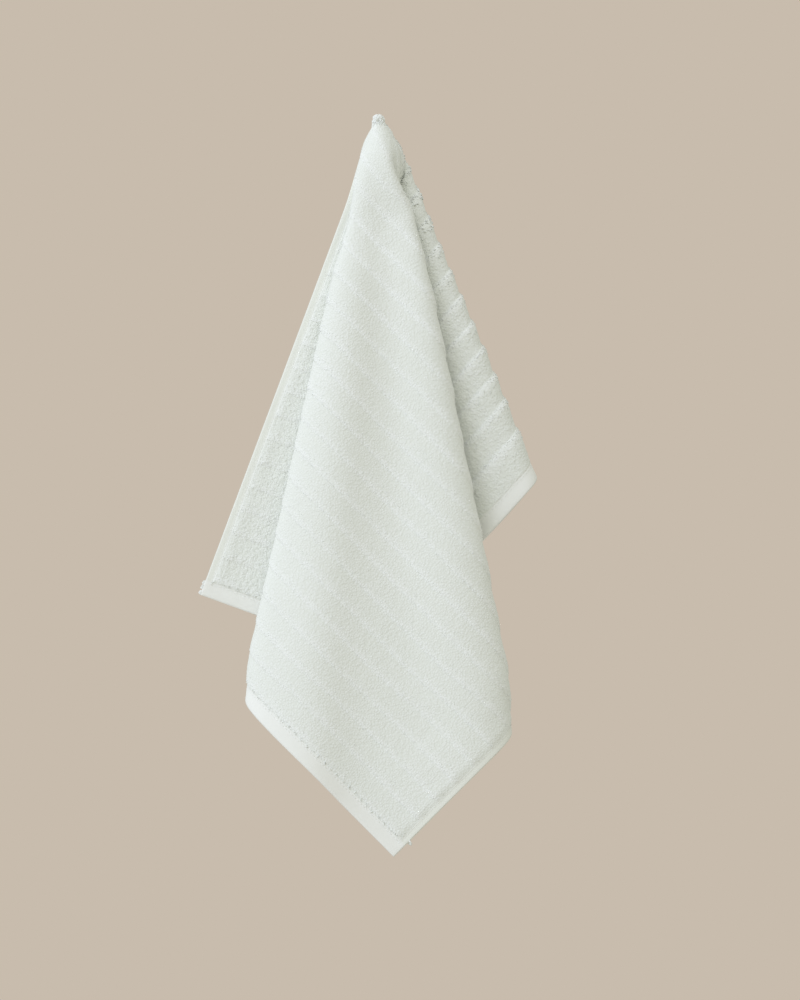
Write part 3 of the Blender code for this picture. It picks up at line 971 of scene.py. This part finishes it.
bunches = np.repeat(np.arange(SIDE_HEM, TOWEL_WIDTH - SIDE_HEM, BUNCH_SPACING), BUNCH_LOOPS)
y = bunches + rng.normal(0, BUNCH_SCATTER_MM, len(bunches)) * MM
x = HELD_TO_LOW_HEM - END_HEM - rng.uniform(*BUNCH_REACH_MM, len(y)) * MM
size = rng.uniform(*BUNCH_SIZES, len(y))
turn = rng.uniform(*BUNCH_TURNS, len(y))
pile_pieces.append(copy_over("low_hem_loops", loop, x, y, surface_height(x, y) - BUNCH_SUNK, size, turn))


# %% [markdown]
# At the held point the pile is pinched, and its loops splay out and up into a small blunt tuft.

# %% Tuft at the held point
TUFT_LOOPS = 260
TUFT_REACH = 8.5 * MM
TUFT_SIZES = (1.3, 2.6)
TUFT_SMALLER_AT_RIM = 0.65
TUFT_SUNK = 0.3 * MM
TUFT_LEANS_UP = 0.70
TUFT_SCATTER = 0.35

away = TUFT_REACH * rng.uniform(0.1, 1.0, TUFT_LOOPS)
around = math.pi * rng.uniform(0.02, 0.98, TUFT_LOOPS)
x = away * np.cos(around)
y = away * np.sin(around)
at_rim = smooth_step(away, TUFT_REACH / 3, TUFT_REACH)
size = rng.uniform(*TUFT_SIZES, TUFT_LOOPS) * (1 - TUFT_SMALLER_AT_RIM * at_rim)
out = look_up(FACING, x, y) + (0, 0, TUFT_LEANS_UP) + rng.normal(0, TUFT_SCATTER, (TUFT_LOOPS, 3))
turn = rng.uniform(0, math.pi, TUFT_LOOPS)
pile_pieces.append(stand_up("held_point_tuft", round_loop, x, y, TUFT_SUNK, out, size, turn))


# %% [markdown]
# A few threads have come loose: they fray the long flap's lower corner, and one sticks out of the side hem
# beside the lowest corner. Across the edge, outwards is the way that the cloth itself runs there.

# %% Loose threads
FRAYED_LENGTH = 11 * MM
FRAYED_LOOPS = 26
FRAYED_SIZES = (0.9, 1.9)
FRAYED_INSIDE = 0.4 * MM
FRAYED_SCATTER = 0.3
THREAD_FROM_LOW_EDGE = 1.3 * END_HEM
THREAD_INSIDE = 0.6 * MM
THREAD_SIZE = 3.0
EDGE_STEP = 3.0 * MM

frayed_x = HELD_TO_LOW_HEM - rng.uniform(0.02, 1.0, FRAYED_LOOPS) * FRAYED_LENGTH
x = np.append(frayed_x, HELD_TO_LOW_HEM - THREAD_FROM_LOW_EDGE)
y = np.append(np.full(FRAYED_LOOPS, FRAYED_INSIDE), TOWEL_WIDTH - THREAD_INSIDE)
inwards = np.append(np.full(FRAYED_LOOPS, EDGE_STEP), TOWEL_WIDTH - EDGE_STEP)
out = look_up(PLACES, x, y) - look_up(PLACES, x, inwards) + rng.normal(0, FRAYED_SCATTER, (len(x), 3)) * MM
size = np.append(rng.uniform(*FRAYED_SIZES, FRAYED_LOOPS), THREAD_SIZE)
turn = rng.uniform(0, math.pi, len(x))
pile_pieces.append(stand_up("loose_threads", round_loop, x, y, LOOPS_SUNK, out, size, turn))


# %% [markdown]
# The seams run along all four hems, just inside the turned edge, and show on both sides of the cloth.

# %% Hem stitches
STITCH_SPACING = 3.1 * MM
END_SEAM = 0.86 * END_HEM
SIDE_SEAM = 0.84 * SIDE_HEM
STITCH_SIZES = (0.92, 1.05)
STITCH_SCATTER = 0.05
FRONT_STITCHES_SUNK = 0.10 * MM
BACK_STITCHES_SUNK = 0.05 * MM

high_seam = -HELD_TO_HIGH_HEM + END_SEAM
low_seam = HELD_TO_LOW_HEM - END_SEAM
far_seam = TOWEL_WIDTH - SIDE_SEAM
across = np.arange(SIDE_SEAM, far_seam, STITCH_SPACING)
along = np.arange(high_seam, low_seam, STITCH_SPACING)
x = np.concatenate((np.full(len(across), high_seam), np.full(len(across), low_seam), along, along))
y = np.concatenate((across, across, np.full(len(along), SIDE_SEAM), np.full(len(along), far_seam)))
turn = np.repeat((math.pi / 2, 0.0), (2 * len(across), 2 * len(along)))
turn = turn + rng.normal(0, STITCH_SCATTER, len(x))
size = rng.uniform(*STITCH_SIZES, len(x))
front_level = surface_height(x, y) - FRONT_STITCHES_SUNK
back_level = np.full(len(x), CLOTH_THICKNESS / 2 - BACK_STITCHES_SUNK)
front_stitches = copy_over("front_stitches", stitch, x, y, front_level, size, turn)
back_stitches = copy_over("back_stitches", stitch, x, y, back_level, size, turn, side=-1)
for pattern in (loop, round_loop, stitch):
    bpy.data.objects.remove(pattern, do_unlink=True)


# %% [markdown]
# ## Terry and thread
#
# Terry is combed cotton yarn, woven with slack loops that stand up from a plain ground weave.
# Cotton isn't shiny: it scatters light through its fibres, so its edges look soft and its hollows glow.
# Both materials are a rough white with a weak sheen, and follow the flat map, in millimetres.

# %% Cotton
COTTON = "#FBFCF9"
COTTON_SURFACE = {
    "Roughness": 0.95,
    "Specular IOR Level": 0.15,
    "Sheen Weight": 0.25,
    "Sheen Roughness": 0.6,
}
MAP_MM = TOWEL_LENGTH / MM


def cotton_material(name):
    """Start a cotton material: rough, with the weak sheen of its fibres."""
    material = bpy.data.materials.new(name)
    material.use_nodes = True
    shader = material.node_tree.nodes["Principled BSDF"]
    for setting, value in COTTON_SURFACE.items():
        shader.inputs[setting].default_value = value
    return material, material.node_tree, shader


def flat_millimetres(tree):
    """Return the place in the flat towel, in millimetres from its high hem and its held edge."""
    flat_place = add_node(tree, "UVMap", {"uv_map": "flat_cloth"})
    return add_node(tree, "VectorMath", {"operation": "SCALE", "Scale": MAP_MM}, {0: flat_place})


terry, tree, shader = cotton_material("cotton_terry")
flat_mm = flat_millimetres(tree)
print("Started", terry.name)


# %% [markdown]
# On the hems the loops give way to a flat weave. The flat map tells them apart: a ping-pong of it is the
# distance from the nearer edge.

# %% Masks for the pile and the side hems
place = add_node(tree, "SeparateXYZ", links={"Vector": flat_mm})
over = {}
for axis, side, hem in (("X", TOWEL_LENGTH, END_HEM), ("Y", TOWEL_WIDTH, SIDE_HEM)):
    half_side = {"operation": "PINGPONG", 1: side / MM / 2}
    from_edge = add_node(tree, "Math", half_side, {0: place.outputs[axis]})
    over[axis] = add_node(tree, "Math", {"operation": "SUBTRACT", 1: hem / MM}, {0: from_edge})
nearer = add_node(tree, "Math", {"operation": "MINIMUM"}, {0: over["X"], 1: over["Y"]})
pile_mask = add_node(tree, "MapRange", {"From Min": -0.5, "From Max": 0.3}, {"Value": nearer})
between_ends = add_node(tree, "MapRange", {"From Min": -0.3, "From Max": 0.3}, {"Value": over["X"]})
side_hem_mask = add_node(
    tree,
    "MapRange",
    {"From Min": -0.7, "From Max": 0.2, "To Max": 0.0},
    {"Value": over["Y"], "To Min": between_ends},
)
print("Masks:", len(tree.nodes), "nodes so far")


# %% [markdown]
# Painted shade makes the pile a little deeper between its loops, which are drawn a little coarser than they
# are so that they show. A painted highlight makes it paler along the crest of each rib, and painted shade a
# little darker off the crest. The side hems are coloured a shade darker and creamier.

# %% Colour of the terry
# The darker end of the pile's colours: random tone, and painted shade between the loops and off the rib
# crests.
COTTON_TONE_AND_PAINTED_SHADE = "#F1F3EC"
# How far the rib crests are painted paler, a painted highlight, and the rest of each rib darker, painted
# shade.
CREST_PAINTED_LIGHT = 0.36
HEM_COTTON = "#FAFAF5"
# The side hems are coloured a shade darker and creamier than the end hems.
SIDE_HEM_COTTON = "#F6F7EF"
LOOP_SPACING_MM = 1.6
TONE_SIZE_MM = 45
CREST_SHIFT = {"operation": "MULTIPLY_ADD", 1: -CREST_PAINTED_LIGHT, 2: CREST_PAINTED_LIGHT / 3}

tone = add_node(tree, "TexNoise", {"Scale": 1 / TONE_SIZE_MM, "Detail": 3.0}, {"Vector": flat_mm})
loop_cells = add_node(
    tree, "TexVoronoi", {"Scale": 1 / LOOP_SPACING_MM, "Randomness": 0.75}, {"Vector": flat_mm}
)
# Painted shade: the pile is darker away from the middle of each loop, where shade falls between loops.
painted_shade_between_loops = add_node(tree, "MapRange", {"From Max": 0.9}, {"Value": loop_cells})
on_crest = add_node(tree, "Attribute", {"attribute_name": "crest"}).outputs["Fac"]
# Painted highlight on the rib crests, and painted shade off them.
painted_crest_light = add_node(tree, "Math", CREST_SHIFT, {0: on_crest})
uneven = add_node(tree, "Math", {"operation": "MULTIPLY_ADD", 1: 0.5}, {0: tone, 2: painted_crest_light})
mixed = add_node(tree, "Math", {"operation": "ADD"}, {0: uneven, 1: painted_shade_between_loops})
pile_colour = add_node(tree, "ValToRGB", links={"Fac": mixed})
for end, position, colour in zip(pile_colour.color_ramp.elements, (0.2, 1.0), (COTTON, COTTON_TONE_AND_PAINTED_SHADE)):
    end.position = position
    end.color = linear(colour)
hem_colours = {"data_type": "RGBA", 6: linear(HEM_COTTON), 7: linear(SIDE_HEM_COTTON)}
hem_colour = add_node(tree, "Mix", hem_colours, {0: side_hem_mask}).outputs[2]
terry_colour = add_node(tree, "Mix", {"data_type": "RGBA"}, {0: pile_mask, 6: hem_colour, 7: pile_colour})
tree.links.new(terry_colour.outputs[2], shader.inputs["Base Color"])
print("Terry colours:", COTTON, COTTON_TONE_AND_PAINTED_SHADE, HEM_COTTON, SIDE_HEM_COTTON)


# %% [markdown]
# Three bumps lie over each other, from fine to coarse: fibres, then the rows of loops or the hems' weave,
# and, where the pile is ruffled, the little clumps in which it stands.

# %% Bump of the terry
FIBRE_SIZE_MM = 0.45
WEAVE_SPACING_MM = 0.8
WEAVE_DEPTH = 0.35
WEAVE = {"distance": "CHEBYCHEV", "Scale": 1 / WEAVE_SPACING_MM, "Randomness": 0.2}
CLUMP_SIZE_MM = 3.4
FIBRE_BUMP = {"Strength": 0.35, "Distance": 0.3 * MM}
LOOP_BUMP = {"Strength": 0.55, "Distance": 0.7 * MM, "invert": True}
CLUMP_BUMP = {"Strength": 0.6, "Distance": 1.3 * MM}

fibres = add_node(tree, "TexNoise", {"Scale": 1 / FIBRE_SIZE_MM, "Detail": 2.0}, {"Vector": flat_mm})
weave = add_node(tree, "TexVoronoi", WEAVE, {"Vector": flat_mm})
woven = add_node(tree, "Math", {"operation": "MULTIPLY", 1: WEAVE_DEPTH}, {0: weave})
surface = add_node(tree, "Mix", links={0: pile_mask, 2: woven, 3: loop_cells})
clumps = add_node(tree, "TexNoise", {"Scale": 1 / CLUMP_SIZE_MM, "Detail": 1.0}, {"Vector": flat_mm})
standing = add_node(tree, "Attribute", {"attribute_name": "ruffle"}).outputs["Fac"]
for factor in (pile_mask, clumps):
    standing = add_node(tree, "Math", {"operation": "MULTIPLY"}, {0: standing, 1: factor})
fibre_bump = add_node(tree, "Bump", FIBRE_BUMP, {"Height": fibres})
loop_bump = add_node(tree, "Bump", LOOP_BUMP, {"Height": surface, "Normal": fibre_bump})
clump_bump = add_node(tree, "Bump", CLUMP_BUMP, {"Height": standing, "Normal": loop_bump})
tree.links.new(clump_bump.outputs["Normal"], shader.inputs["Normal"])
cloth.data.materials.clear()
cloth.data.materials.append(terry)
print(terry.name, len(tree.nodes), "nodes")


# %% [markdown]
# The loops and the seams are yarn. It is uneven up close, and its tone varies a little from loop to loop.

# %% Yarn material
YARN_SHADE = "#EFF1EC"
UNEVEN_MM = 0.30
YARN_TONE_MM = 2.0

yarn, tree, shader = cotton_material("cotton_yarn")
yarn_mm = flat_millimetres(tree)
tone = add_node(tree, "TexNoise", {"Scale": 1 / YARN_TONE_MM, "Detail": 2.0}, {"Vector": yarn_mm})
yarn_colour = add_node(tree, "ValToRGB", links={"Fac": tone})
for end, position, colour in zip(yarn_colour.color_ramp.elements, (0.35, 0.75), (COTTON, YARN_SHADE)):
    end.position = position
    end.color = linear(colour)
tree.links.new(yarn_colour.outputs["Color"], shader.inputs["Base Color"])
place = add_node(tree, "TexCoord").outputs["Object"]
object_mm = add_node(tree, "VectorMath", {"operation": "SCALE", "Scale": 1 / MM}, {0: place})
fibres = add_node(tree, "TexNoise", {"Scale": 1 / UNEVEN_MM, "Detail": 1.0}, {"Vector": object_mm})
yarn_bump = add_node(tree, "Bump", {"Strength": 0.4, "Distance": 0.1 * MM}, {"Height": fibres})
tree.links.new(yarn_bump.outputs["Normal"], shader.inputs["Normal"])
dressing = [*pile_pieces, front_stitches, back_stitches]
for piece in dressing:
    piece.data.materials.append(yarn)
print(yarn.name, len(tree.nodes), "nodes, on", len(dressing), "pieces")


# %% [markdown]
# ## Hand over
#
# The fine cloth takes the plain model's place. Its loops and seams go with it.

# %% Attach and finish
for piece in (cloth, *dressing):
    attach(piece, "root")
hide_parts("towel")
